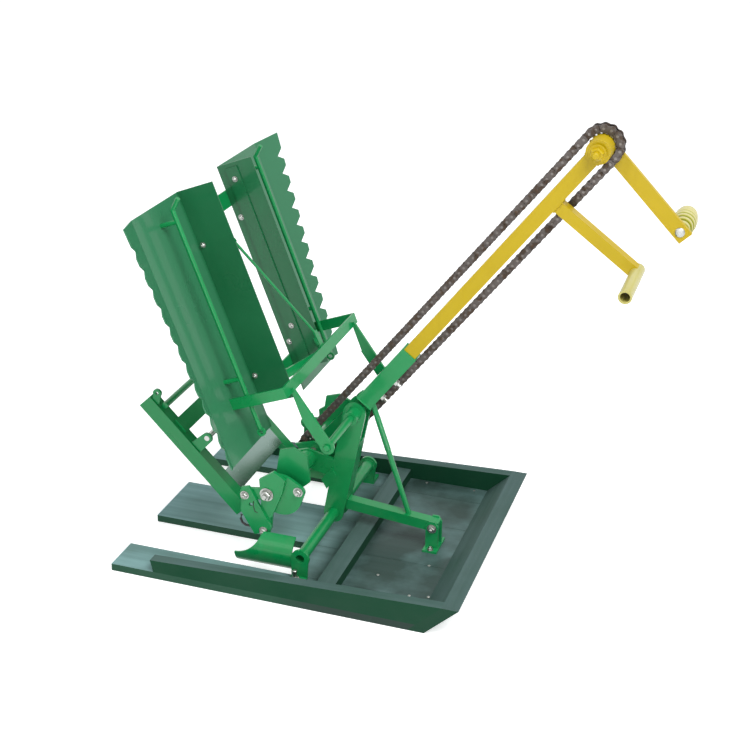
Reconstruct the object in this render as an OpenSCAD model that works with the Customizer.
// Hand-cranked two-row rice transplanter on a wooden sled.
// Frame: origin on the underside of the sled, below the foot pipe, on the centre plane.
// +X points forward to the handles, +Y to the chain side, +Z up. Millimetres.

/* [Sled] */
// Width over the side boards
sled_w = 500; // [460:1:560]
// Foot pipe axis to the rear ends of the planks
sled_rear = 345; // [320:1:380]
// Foot pipe axis to the front edge of the underside
sled_front = 250; // [230:1:290]
// Thickness of the planks
plank_t = 14; // [12:1:18]
// Width of each side plank
side_plank_w = 74; // [66:1:76]
// Width of the middle plank
mid_plank_w = 138; // [120:1:140]
// Thickness of the side boards
side_board_t = 20; // [14:1:24]
// Height of the side boards at the rear
side_board_rear_h = 38; // [30:1:44]
// Height of the sled at the front edge
front_h = 57; // [48:1:70]
// How far the front board leans forward
front_lean = 60; // [40:1:75]
// Thickness of the front board, along X
front_board_t = 30; // [20:1:34]
// Width of the cross batten, along X
batten_w = 34; // [26:1:44]
// Height of the cross batten
batten_h = 20; // [14:1:24]

/* [Frame] */
// Outside diameter of the foot pipe
pipe_d = 22; // [20:1:26]
// Wall of the foot pipe
pipe_wall = 3; // [2:0.5:4]
// Height of the foot pipe axis
pipe_z = 57; // [52:1:62]
// Thickness of plate parts
plate_t = 5; // [4:0.5:6]
// Clear width between the two cheek plates of the post
post_gap = 25; // [25:1:27]
// Width of the square handle tube
tube_w = 25; // [23:1:25]
// Wall of the handle tube and of its sleeve
tube_wall = 3; // [2:0.5:4]
// Slope of the handle tube
tube_angle = 52; // [50:1:54]
// Carriage rod axis to the crank axle, along the handle tube
tube_len = 659; // [640:1:680]
// Length of the green sleeve on the handle tube
sleeve_len = 165; // [130:1:190]
// Diameter of the stay rod
stay_d = 10; // [8:1:12]

/* [Drive] */
// Pitch of the roller chain
chain_pitch = 12.7; // [12.5:0.1:13]
// Teeth of each sprocket
teeth = 14; // [14:2:16]
// Width of the chain over its plates
chain_w = 15; // [12:0.5:15]
// Height of the chain plates
chain_h = 11; // [9:0.5:11.5]
// Diameter of the crank axle and the planting shaft
shaft_d = 16; // [14:1:18]
// Throw of the hand crank
crank_r = 188; // [160:1:200]
// Direction of the hand crank at rest, down from +X
crank_drop = 46; // [30:1:60]
// Throw of the planting cranks
planting_r = 28; // [24:1:30]

/* [Seedling trays] */
// Slope of the tray floors
tray_angle = 69.5; // [68:0.5:71]
// Length of the tray floors along the slope
tray_len = 450; // [420:1:480]
// Centre plane to the inner fence
fence_y = 79; // [76:1:84]
// Centre plane to the fold of the outer wing
fold_y = 245; // [235:1:255]
// Height of the inner fence above the floor
fence_h = 70; // [60:1:76]
// Thickness of the sheet
sheet_t = 2; // [1.5:0.5:3]
// Travel of the carriage to each side
travel = 50; // [40:1:50]

/* [Hidden] */
$fn = 48;
run_gap = 0.1;
rib = 0.01;
// Half of the sled, and the edges of its planks
half_w = sled_w / 2;
side_plank_y = half_w - side_plank_w;
mid_plank_y = mid_plank_w / 2;
seam = 0.5;
batten_x = 41;
deck_rear = -20;
board_rear_x = -260;
// Slanted inner face of the front board
function inner_x(z) = sled_front - front_board_t + front_lean * z / front_h;

// Places in the middle plane, as [x, z]
pipe_p = [0, pipe_z];
rod_p = [43, 272];
tube_u = [cos(tube_angle), sin(tube_angle)];
axle_p = rod_p + tube_len * tube_u;
shaft_p = [-49.36, 165.14];
chain_v = axle_p - shaft_p;
centre_dist = norm(chain_v);
chain_angle = atan2(chain_v.y, chain_v.x);
chain_u = chain_v / centre_dist;
// Links in each straight run, and the pitch at which they fill it
run_links = round(centre_dist / chain_pitch);
run_pitch = centre_dist / run_links;
sprocket_r = chain_pitch / (2 * sin(180 / teeth));
chain_y = 30;

// Lanes from the side planks inward: planting arm, its crank, the side plate and the beam
arm_plate_y = side_plank_y - 32;
crank_plate_y = arm_plate_y - 18;
side_plate_y = crank_plate_y - 13;
beam_y = crank_plate_y - 6;

// Carriage rod and its bush
rod_d = 14;
bush_d = 26;
bush_half = 40;

// Post cheeks
cheek_y = post_gap / 2;
post_r = 19;
web_low = 31;
web_high = 60;
sleeve_w = tube_w + 2 * tube_wall;

// Beams under the trays: top surface line from beam_p0, falling forward
beam_p0 = [-313, 297];
beam_angle = -46.6;
beam_u = [cos(beam_angle), sin(beam_angle)];
beam_n = [-sin(beam_angle), cos(beam_angle)];
beam_len = 268;
beam_t = 3;
beam_web = 30;
beam_flange = 24;
cross_s0 = 192;
cross_len = 46;
rear_rod_d = 10;
rear_rod_s = 124;
rear_rod_h = 32;
function on_beam(s, h) = beam_p0 + s * beam_u + h * beam_n;
rear_rod_p = on_beam(rear_rod_s, rear_rod_h);
lug_y = beam_y - beam_t - plate_t;
beam_bar_d = 12;
housing_d = 34;
guard_y = bush_half;

// Foot brackets and shields
bracket_y = side_plank_y + 5;
bracket_r = 17;
foot_len = 32;
foot_t = 6;
shield_t = 3;
shield_r = 36;
shield_y = bracket_y - 33;
shield_z = 50;
shield_tail = -129;

// Front bar and its foot
bar_w = 20;
bar_rear_p = [10, 78];
bar_front_p = [192, 60];
clevis_gap = bar_w;
clevis_t = 4;
clevis_h = 58;
clevis_foot = 28;
stay_low = [147, 62];
stay_high = [72, 292];

// Handle arm and grip pipe
arm_w = 20;
arm_from = tube_len - 113;
arm_angle = -36.6;
arm_len = 178;
grip_pipe_d = 22;
grip_pipe_near = 115;
grip_pipe_far = 14;
hub_d = 40;
hub_near = 16;
hub_far = 20;

// Hand crank
crank_y = 43;
crank_t = 8;
crank_w = 26;
crank_pin_d = 10;
crank_p = axle_p + crank_r * [cos(crank_drop), -sin(crank_drop)];
grip_from = 55;
grip_len = 96;

// Planting arms, near side; the far side is mirrored
crank_rest = 201;
pin_p = shaft_p + planting_r * [cos(crank_rest), sin(crank_rest)];
pin_d = 12;
crank_plate_t = 8;
arm_plate_t = 6;
holder_t = 5;
disc_p = pin_p + [24, 0];
disc_r = 40;
lobe_p = pin_p + [58, 12];
lobe_r = 12;
disc_t = 6;
nose_p = pin_p + [-41, -6];
tail_p = pin_p + [-7, -74];

// Trays: local axes are a along Y, b up the slope, c off the floor
tray_p = [-93, 255];
function tray_pt(b, c) = tray_p + b * [-cos(tray_angle), sin(tray_angle)]
    + c * [sin(tray_angle), cos(tray_angle)];
wing_lift = 20;
wing_top = 66;
wing_low = 12;
tooth_pitch = 34;
tooth_depth = 15;
fence_from = 45;
rod_a = 169;
rod_c = 32;
keeper_d = 8;
keeper_from = 32;
keeper_to = 436;
hoop_b = 88;
hoop_h = 20;
hoop_t = 4;
hoop_c = 108;
hoop_a = rod_a + keeper_d / 2 + run_gap;
arm_a = 150;
carriage_arm_w = 22;
tie_b = 60;
tie_w = 30;
tie_h = 16;
brace_d = 5;
tie_t = 4;
hanger_y = 45;

steel_green = [0.05, 0.5, 0.2];
paint_yellow = [0.85, 0.7, 0.05];
sled_green = [0.2, 0.36, 0.3];
chain_dark = [0.15, 0.13, 0.12];
bare_steel = [0.6, 0.6, 0.6];

// Helpers

// Puts a flat outline drawn in [x, z] upright, t thick from y towards -Y
module upright(y, t) translate([0, y, 0]) rotate([90, 0, 0]) linear_extrude(t) children();

// Mirrored copies on both sides of the centre plane
module both_sides() {
    children();
    mirror([0, 1, 0]) children();
}

// A round bar along Y at a place [x, z], from y0 to y1
module cross_rod(p, d, y0, y1) translate([p.x, y0, p.y]) rotate([-90, 0, 0]) cylinder(d = d, h = y1 - y0);

// Flat link outline between two round ends
module link(p, q, rp, rq) {
    v = q - p;
    len = norm(v);
    lean = asin((rp - rq) / len);
    translate(p) rotate(atan2(v.y, v.x)) {
        circle(rp);
        translate([len, 0]) circle(rq);
        polygon([for (s = [1, -1]) each [
            [rp * sin(lean), s * rp * cos(lean)],
            [len + rq * sin(lean), s * rq * cos(lean)]]],
            [[0, 1, 3, 2]]);
    }
}

// Flat strap outline w wide, with a round eye at its far end
module strap(p, q, w, r) {
    v = q - p;
    translate(p) rotate(atan2(v.y, v.x)) {
        translate([0, -w / 2]) square([norm(v), w]);
        translate([norm(v), 0]) circle(r);
    }
}

// A square bar along a line in the middle plane, from p at an angle
module square_bar(p, angle, w, from, to) translate([p.x, 0, p.y]) rotate([0, -angle, 0])
    translate([from, -w / 2, -w / 2]) cube([to - from, w, w]);

// Local axes of the trays
module on_tray() translate([tray_p.x, 0, tray_p.y]) rotate([0, tray_angle, 0]) rotate([0, 0, 90])
    children();

// Local axes of the beams: X down along the beam, Z off its top surface
module on_beams() translate([beam_p0.x, 0, beam_p0.y]) rotate([0, -beam_angle, 0]) children();

// A bar between two points in space
module bar_between(p, q, d) {
    v = q - p;
    translate(p) rotate([0, acos(v.z / norm(v)), atan2(v.y, v.x)]) cylinder(d = d, h = norm(v));
}

// Sled

module plank(y0, y1, x0) color(sled_green) upright(y1, y1 - y0)
    polygon([[x0, 0], [inner_x(0), 0], [inner_x(plank_t), plank_t], [x0, plank_t]]);

module side_planks() both_sides() plank(side_plank_y, half_w, -sled_rear);
module plank_middle() plank(-mid_plank_y, mid_plank_y, -sled_rear);
module deck_fillers() both_sides() plank(mid_plank_y + seam, side_plank_y - seam, deck_rear);

module side_board() color(sled_green) upright(half_w, side_board_t)
    polygon([[board_rear_x, plank_t], [inner_x(plank_t), plank_t], [inner_x(front_h), front_h],
        [board_rear_x - 5, side_board_rear_h]]);

module side_boards() both_sides() side_board();

module front_board() color(sled_green) upright(half_w, sled_w)
    polygon([[inner_x(0), 0], [sled_front, 0], [sled_front + front_lean, front_h], [inner_x(front_h), front_h]]);

module cross_batten() color(sled_green)
    translate([batten_x, side_board_t - half_w, plank_t]) cube([batten_w, sled_w - 2 * side_board_t, batten_h]);

// Frame on the sled

module foot_pipe() color(steel_green) difference() {
    cross_rod(pipe_p, pipe_d, -bracket_y - plate_t, bracket_y + plate_t);
    cross_rod(pipe_p, pipe_d - 2 * pipe_wall, -bracket_y - plate_t - 1, bracket_y + plate_t + 1);
}

module foot_bracket() color(steel_green) difference() {
    union() {
        upright(bracket_y + plate_t, plate_t) {
            translate(pipe_p) circle(bracket_r);
            polygon([[-bracket_r, plank_t], [12, plank_t], [15, pipe_z], [-10, pipe_z], [-bracket_r, pipe_z - 6]]);
        }
        translate([-bracket_r, bracket_y, plank_t]) cube([12 + bracket_r, foot_len, foot_t]);
    }
    cross_rod(pipe_p, pipe_d + 2 * run_gap, bracket_y - 1, bracket_y + plate_t + 1);
}

module foot_brackets() both_sides() foot_bracket();

// Curved mud shield that trails behind each foot bracket
module shield() color(steel_green) difference() {
    translate([shield_tail, 0, 0]) rotate([90, 0, 90]) linear_extrude(-bracket_r - shield_tail)
        intersection() {
            translate([shield_y, shield_z]) difference() {
                circle(shield_r);
                circle(shield_r - shield_t);
            }
            translate([shield_y + 12, plank_t + 4]) square([shield_r, 2 * shield_r]);
        }
    cross_rod([shield_tail - 4, shield_z + 50], 110, 0, half_w);
}

module shields() both_sides() shield();

// Outline of a cheek plate: foot to handle tube, with an arm back past the planting shaft to the beams
module cheek_outline() difference() {
    union() {
        link(pipe_p, rod_p, post_r, post_r + 2);
        link([14, 150], shaft_p, post_r, post_r);
        polygon([shaft_p + [0, post_r], shaft_p - [0, post_r], on_beam(cross_s0 + cross_len - 6, -beam_t),
            on_beam(cross_s0 + 8, -beam_t)]);
    }
    polygon([for (s = [cross_s0 - 60, cross_s0 + 2 * cross_len]) each
        [on_beam(s, -beam_t), on_beam(s, 80)]], [[0, 1, 3, 2]]);
}

module post() color(steel_green) difference() {
    union() {
        both_sides() upright(cheek_y + plate_t, plate_t) cheek_outline();
        // Web that closes the front of the post
        upright(cheek_y, post_gap) difference() {
            link(pipe_p, rod_p, post_r, post_r + 2);
            translate([-plate_t, 0]) link(pipe_p, rod_p, post_r, post_r + 2);
            translate(pipe_p - [2 * post_r, 2 * post_r]) square([rod_p.x + 4 * post_r, 2 * post_r + web_low]);
            translate([-2 * post_r, rod_p.y - web_high]) square([rod_p.x + 4 * post_r, 2 * web_high]);
        }
        cross_rod(rod_p, bush_d, -bush_half, bush_half);
    }
    cross_rod(rod_p, rod_d + 2 * run_gap, -bush_half - 1, bush_half + 1);
    cross_rod(shaft_p, shaft_d + 2 * run_gap, -bush_half, bush_half);
    cross_rod(pipe_p, pipe_d + 2 * run_gap, -bush_half, bush_half);
}

module tube_sleeve() color(steel_green) difference() {
    square_bar(rod_p, tube_angle, sleeve_w, 28, sleeve_len);
    square_bar(rod_p, tube_angle, tube_w, 0, sleeve_len + 1);
}

module handle_tube() color(paint_yellow) difference() {
    union() {
        difference() {
            square_bar(rod_p, tube_angle, tube_w, 60, tube_len - hub_d / 4);
            square_bar(rod_p, tube_angle, tube_w - 2 * tube_wall, 59, tube_len - hub_d / 2);
        }
        cross_rod(axle_p, hub_d, -hub_near, hub_far);
    }
    cross_rod(axle_p, shaft_d + 2 * run_gap, -hub_near - 1, hub_far + 1);
}

arm_p = rod_p + arm_from * tube_u;
grip_p = arm_p + arm_len * [cos(arm_angle), sin(arm_angle)];

module handle_arm() color(paint_yellow) difference() {
    square_bar(arm_p, arm_angle, arm_w, 0, arm_len);
    square_bar(rod_p, tube_angle, tube_w, 0, tube_len);
    cross_rod(grip_p, grip_pipe_d, -grip_pipe_near, grip_pipe_near);
    square_bar(arm_p, arm_angle, arm_w - 2 * tube_wall, -1, arm_len + 1);
}

module handle_grip() color(paint_yellow) difference() {
    cross_rod(grip_p, grip_pipe_d, -grip_pipe_near, grip_pipe_far);
    cross_rod(grip_p, grip_pipe_d - 2 * pipe_wall, -grip_pipe_near - 1, grip_pipe_far + 1);
}

bar_v = bar_front_p - bar_rear_p;
bar_angle = atan2(bar_v.y, bar_v.x);

module front_bar() color(steel_green) difference() {
    square_bar(bar_rear_p, bar_angle, bar_w, 0, norm(bar_v) + 10);
    upright(half_w, sled_w) link(pipe_p, rod_p, post_r, post_r + 2);
}

// Clevis on the deck that holds the front bar
module front_foot() color(steel_green) translate([bar_front_p.x, 0, plank_t]) {
    both_sides() upright(clevis_gap / 2 + clevis_t, clevis_t)
        polygon([[-12, 0], [12, 0], [12, clevis_h - 10], [6, clevis_h], [-6, clevis_h], [-12, clevis_h - 10]]);
    translate([-clevis_foot / 2, -clevis_foot, 0]) cube([clevis_foot, 2 * clevis_foot, 4]);
}

module stay_rod() color(steel_green) difference() {
    bar_between([stay_low.x, 0, stay_low.y], [stay_high.x, 0, stay_high.y], stay_d);
    square_bar(rod_p, tube_angle, sleeve_w, 0, tube_len);
    square_bar(bar_rear_p, bar_angle, bar_w, 0, norm(bar_v) + 10);
}

// Beams under the trays

module beam() color(steel_green) {
    on_beams() {
        translate([0, beam_y - beam_t, -beam_web]) cube([beam_len, beam_t, beam_web]);
        translate([0, beam_y - beam_flange, -beam_t]) cube([beam_len, beam_flange, beam_t]);
    }
    // Tab at the top end
    upright(lug_y + plate_t, plate_t) difference() {
        strap(on_beam(16, -beam_t / 2), on_beam(4, 15), 14, 8);
        polygon([for (s = [-40, 60]) each [on_beam(s, -beam_t / 2), on_beam(s, -40)]], [[0, 1, 3, 2]]);
        translate(on_beam(4, 15)) circle(3);
    }
    // Lug for the rear rod
    difference() {
        upright(lug_y + plate_t, plate_t) difference() {
            link(rear_rod_p, on_beam(rear_rod_s, 0), 10, 12);
            polygon([for (s = [rear_rod_s - 40, rear_rod_s + 40]) each
                [on_beam(s, -beam_t / 2), on_beam(s, -40)]], [[0, 1, 3, 2]]);
        }
        cross_rod(rear_rod_p, rear_rod_d + 2 * run_gap, lug_y - 1, beam_y);
    }
}

module beams() both_sides() beam();

module beam_cross_plate() color(bare_steel) on_beams()
    translate([cross_s0, beam_flange - beam_y, -beam_t])
        cube([cross_len, 2 * (beam_y - beam_flange), beam_t]);

// Round bar and flat bar that tie the tops of the beams
module beam_bars() color(steel_green) {
    cross_rod(on_beam(30, beam_bar_d / 2 + run_gap), beam_bar_d, -lug_y, lug_y);
    on_beams() translate([62, -lug_y, 0]) cube([30, 2 * lug_y, 4]);
}

// Bearing tubes of the planting shaft, with the plates at their ends
module axle_housings() color(steel_green) {
    mirror([0, 1, 0]) axle_housing(cheek_y + plate_t);
    axle_housing(guard_y);
    difference() {
        upright(guard_y + plate_t, plate_t) strap(shaft_p, rod_p, 26, 18);
        cross_rod(rod_p, rod_d + 2 * run_gap, guard_y - 1, guard_y + plate_t + 1);
        cross_rod(shaft_p, shaft_d + 2 * run_gap, guard_y - 1, guard_y + plate_t + 1);
    }
}

module axle_housing(from) difference() {
    union() {
        cross_rod(shaft_p, housing_d, from, side_plate_y + 1);
        upright(side_plate_y + plate_t, plate_t) {
            translate(shaft_p) circle(24);
            polygon([for (v = [[-22, 8], [-12, 66], [14, 74], [40, 62], [44, 10], [20, -12]]) shaft_p + v]);
        }
    }
    cross_rod(shaft_p, shaft_d + 2 * run_gap, from - 1, side_plate_y + plate_t + 1);
}

module rear_rod() color(bare_steel) cross_rod(rear_rod_p, rear_rod_d, -lug_y - plate_t, lug_y + plate_t);

// Chain drive

chain_links = 2 * run_links + teeth;
chain_left = [-chain_u.y, chain_u.x];
function turn(v, a) = [v.x * cos(a) + v.y * sin(a), v.y * cos(a) - v.x * sin(a)];
// Places of the pins round the loop, from the start of the upper run
function pin_at(i) = i <= run_links ? shaft_p + sprocket_r * chain_left + i * run_pitch * chain_u
    : i <= run_links + teeth / 2
        ? axle_p + sprocket_r * turn(chain_left, (i - run_links) * 360 / teeth)
    : i <= 2 * run_links + teeth / 2
        ? axle_p - sprocket_r * chain_left - (i - run_links - teeth / 2) * run_pitch * chain_u
    : shaft_p + sprocket_r * turn(chain_left, 180 + (i - 2 * run_links - teeth / 2) * 360 / teeth);
// Direction that points out of the loop at a pin
function out_at(i) = i <= run_links ? chain_left
    : i <= run_links + teeth / 2 ? turn(chain_left, (i - run_links) * 360 / teeth)
    : i <= 2 * run_links + teeth / 2 ? -chain_left
    : turn(chain_left, 180 + (i - 2 * run_links - teeth / 2) * 360 / teeth);
waist = 0.66;

// Edge of the chain plates, full at each pin and waisted between pins
function chain_edge(h) = [for (i = [0 : chain_links - 1]) each [
    pin_at(i) + h * out_at(i),
    (pin_at(i) + pin_at(i + 1)) / 2 + waist * h * (out_at(i) + out_at(i + 1)) / 2]];

module chain() color(chain_dark) upright(chain_y + chain_w / 2, chain_w) difference() {
    polygon(chain_edge(chain_h / 2));
    polygon(chain_edge(-chain_h / 2));
}

tip_r = sprocket_r - chain_h / 2 - 0.4;
root_r = tip_r - 4;
tooth_arc = 180 / teeth;

module sprocket(p) upright(chain_y + 3, 6) translate(p) {
    circle(root_r);
    for (i = [0 : teeth - 1]) rotate(chain_angle + 90 + i * 360 / teeth)
        polygon([[0, 0], [root_r, -root_r * tan(tooth_arc / 1.6)], [tip_r, -1.2], [tip_r, 1.2],
            [root_r, root_r * tan(tooth_arc / 1.6)]]);
}

module crank_axle() color(bare_steel) union() {
    cross_rod(axle_p, shaft_d, -hub_near - 6, crank_y + crank_t + 4);
    sprocket(axle_p);
    cross_rod(axle_p, shaft_d + 10, hub_far + 1, chain_y);
}

module crank_arm() color(paint_yellow) union() {
    difference() {
        upright(crank_y + crank_t, crank_t) difference() {
            translate(axle_p) rotate(-crank_drop) translate([-14, -crank_w / 2])
                square([crank_r + 28, crank_w]);
            translate(axle_p) circle(d = shaft_d);
        }
    }
    cross_rod(crank_p, crank_pin_d, crank_y, grip_from + grip_len + 3);
}

// Ringed barrel grip: radius of each ring, from the crank outward
grip_rings = [14, 17, 19, 20, 20, 19, 17, 13];
ring_l = grip_len / len(grip_rings);
groove = 1.5;

module crank_grip() color(paint_yellow) translate([crank_p.x, grip_from, crank_p.y]) rotate([-90, 0, 0])
    difference() {
        rotate_extrude() polygon([[0, 0],
            for (i = [0 : len(grip_rings) - 1]) each [
                [grip_rings[i] - groove, i * ring_l], [grip_rings[i], (i + 0.25) * ring_l],
                [grip_rings[i], (i + 0.75) * ring_l], [grip_rings[i] - groove, (i + 1) * ring_l]],
            [0, grip_len]]);
        translate([0, 0, -1]) cylinder(d = crank_pin_d + 2 * run_gap, h = grip_len + 2);
    }

module planting_shaft() color(bare_steel) union() {
    cross_rod(shaft_p, shaft_d, -crank_plate_y - crank_plate_t, crank_plate_y + crank_plate_t);
    sprocket(shaft_p);
    cross_rod(shaft_p, shaft_d + 10, cheek_y + plate_t + 1, chain_y);
}

module planting_crank() color(steel_green) union() {
    upright(crank_plate_y + crank_plate_t, crank_plate_t) difference() {
        link(shaft_p, pin_p, 15, 12);
        translate(shaft_p) circle(d = shaft_d);
    }
    cross_rod(pin_p, pin_d, crank_plate_y, arm_plate_y + arm_plate_t + 2);
}

module planting_crank_near() mirror([0, 1, 0]) planting_crank();
module planting_crank_far() planting_crank();

// Kite plate about the crank pin
kite = [[-14, 28], [14, 48], [36, 34], [30, 8], [8, -46], [-10, -40]];
ear_w = 22;
ear_r = 10;

module planting_arm() color(steel_green) difference() {
    union() {
        upright(arm_plate_y, disc_t) {
            link(disc_p, lobe_p, disc_r, lobe_r);
            strap(pin_p, tail_p, ear_w, ear_r);
        }
        upright(arm_plate_y + arm_plate_t, arm_plate_t) {
            polygon([for (v = kite) pin_p + v]);
            strap(pin_p, nose_p, ear_w, ear_r + 2);
            strap(pin_p, tail_p, ear_w - 2, ear_r);
        }
        cross_rod(pin_p, pin_d + 14, crank_plate_y + crank_plate_t + 1, arm_plate_y);
    }
    cross_rod(pin_p, pin_d + 2 * run_gap, crank_plate_y, half_w);
}

module planting_arm_near() mirror([0, 1, 0]) planting_arm();
module planting_arm_far() planting_arm();

// Claw holder plate with its two tines
tine_tip = tail_p + [6, -44];

claw_plate = [[-47, 9], [-32, 13], [8, -64], [6, -75], [-25, -84], [-50, -40]];

module claw() color(steel_green) upright(arm_plate_y + arm_plate_t + holder_t, holder_t) difference() {
    union() {
        polygon([for (v = claw_plate) pin_p + v]);
        polygon([tail_p + [-12, 4], tail_p + [8, 4], tine_tip + [2, 0], tine_tip - [2, 0]]);
    }
    translate(pin_p + [-30, -24]) circle(4);
}

module claw_near() mirror([0, 1, 0]) claw();
module claw_far() claw();

// Seedling trays

wing_turns = floor(tray_len / tooth_pitch) - 1;
function wing_at(b) = wing_low + (wing_top - wing_low) * b / tray_len;

// Wing outline, flat: saw teeth down the outer edge
module wing_outline() difference() {
    polygon([[0, 0], [wing_low, 0], [wing_top, tray_len], [0, tray_len]]);
    for (i = [1 : wing_turns]) {
        b = i * tooth_pitch;
        polygon([[wing_at(b) - tooth_depth, b], [wing_at(b) + 5, b - 14], [wing_at(b) + 5, b + 14]]);
    }
}

module tray() color(steel_green) on_tray() {
    translate([fence_y, 0, -sheet_t]) cube([fold_y - fence_y, tray_len, sheet_t]);
    translate([fold_y - rib, 0, -sheet_t]) rotate([0, -wing_lift, 0]) linear_extrude(sheet_t) wing_outline();
    translate([fence_y, fence_from, -sheet_t]) cube([sheet_t, tray_len - fence_from, fence_h + sheet_t]);
}

module tray_near() mirror([0, 1, 0]) tray();
module tray_far() tray();

rail_w = 24;
rail_t = 3;
rail_c = 14;

module fence_rails() color(steel_green) both_sides() on_tray()
    translate([fence_y - rail_t, fence_from + 8, rail_c]) cube([rail_t, tray_len - fence_from - 16, rail_w]);

module keeper_rods() color(steel_green) both_sides() on_tray() {
    translate([rod_a, keeper_from, rod_c]) rotate([-90, 0, 0]) cylinder(d = keeper_d, h = keeper_to - keeper_from);
    translate([rod_a, keeper_to, rod_c]) sphere(d = keeper_d);
    bar_between([rod_a, keeper_to, rod_c], [rod_a, keeper_to + 16, rod_c + 18], keeper_d);
    for (b = [hoop_b + 40, keeper_to - 20]) translate([rod_a, b, 0]) cylinder(d = keeper_d, h = rod_c);
    translate([rod_a - 2, keeper_from - 6, rod_c]) rotate([0, 90, 0]) difference() {
        cylinder(d = 2 * keeper_d, h = 4);
        translate([0, 0, -1]) cylinder(d = keeper_d, h = 6);
    }
}

module hoop_bar() color(steel_green) on_tray()
    translate([-hoop_a - hoop_t, hoop_b - hoop_h / 2, hoop_c - hoop_t]) cube([2 * (hoop_a + hoop_t), hoop_h, hoop_t]);

module hoop_legs() color(steel_green) both_sides() on_tray()
    translate([hoop_a, hoop_b - hoop_h / 2, 0]) cube([hoop_t, hoop_h, hoop_c - hoop_t]);

// Flat ties from the fences to the middle of the hoop bar
module hoop_ties() color(steel_green) both_sides() on_tray()
    translate([0, hoop_b + tie_h / 2, 0]) rotate([90, 0, 0]) linear_extrude(tie_h)
        polygon([[fence_y, fence_h - 12], [fence_y, fence_h - 6], [14, hoop_c - hoop_t], [5, hoop_c - hoop_t]]);

// Thin brace from the near fence to the middle of the hoop bar
module brace_rod() color(steel_green) on_tray() difference() {
    bar_between([-fence_y - 6, tray_len - 92, fence_h - 6], [24, hoop_b + 4, hoop_c], brace_d);
    translate([-2 * fence_y, 0, -fence_h]) cube([fence_y, tray_len, 3 * fence_h]);
    translate([-fence_y, 0, hoop_c - hoop_t]) cube([2 * fence_y, tray_len, hoop_c]);
}

hoop_front_p = tray_pt(hoop_b, hoop_c);

module carriage_arms() color(steel_green) both_sides() difference() {
    upright(arm_a + plate_t, plate_t) difference() {
        strap(hoop_front_p - 6 * tube_u, rod_p, carriage_arm_w, carriage_arm_w / 2 + 2);
        polygon([for (b = [hoop_b - 60, hoop_b + 60]) each [tray_pt(b, hoop_c), tray_pt(b, 0)]], [[0, 1, 3, 2]]);
    }
    cross_rod(rod_p, rod_d + 2 * run_gap, arm_a - 1, arm_a + plate_t + 1);
}

module carriage_rod() color(bare_steel) cross_rod(rod_p, rod_d, -arm_a - plate_t - 2, arm_a + plate_t + 2);

// Flat ties across the backs of the trays
module rear_ties() color(steel_green) on_tray() for (b = [tie_b, tray_len - tie_b])
    translate([-fold_y + 10, b - tie_w / 2, -sheet_t - tie_t]) cube([2 * fold_y - 20, tie_w, tie_t]);

// Hangers from the lower tie that ride on the rear rod
module tray_hangers() color(steel_green) both_sides() difference() {
    upright(hanger_y + plate_t, plate_t) difference() {
        strap(tray_pt(tie_b, 0), rear_rod_p, 18, 11);
        polygon([for (b = [tie_b - 80, tie_b + 80]) each
            [tray_pt(b, -sheet_t - tie_t), tray_pt(b, 80)]], [[0, 1, 3, 2]]);
    }
    cross_rod(rear_rod_p, rear_rod_d + 2 * run_gap, hanger_y - 1, hanger_y + plate_t + 1);
}

side_planks();
plank_middle();
deck_fillers();
side_boards();
front_board();
cross_batten();
foot_pipe();
foot_brackets();
shields();
post();
axle_housings();
tube_sleeve();
handle_tube();
handle_arm();
handle_grip();
front_bar();
front_foot();
stay_rod();
beams();
beam_bars();
beam_cross_plate();
rear_rod();
chain();
crank_axle();
crank_arm();
crank_grip();
planting_shaft();
planting_crank_near();
planting_crank_far();
planting_arm_near();
planting_arm_far();
claw_near();
claw_far();
tray_near();
tray_far();
fence_rails();
keeper_rods();
hoop_bar();
hoop_legs();
hoop_ties();
brace_rod();
carriage_arms();
carriage_rod();
rear_ties();
tray_hangers();
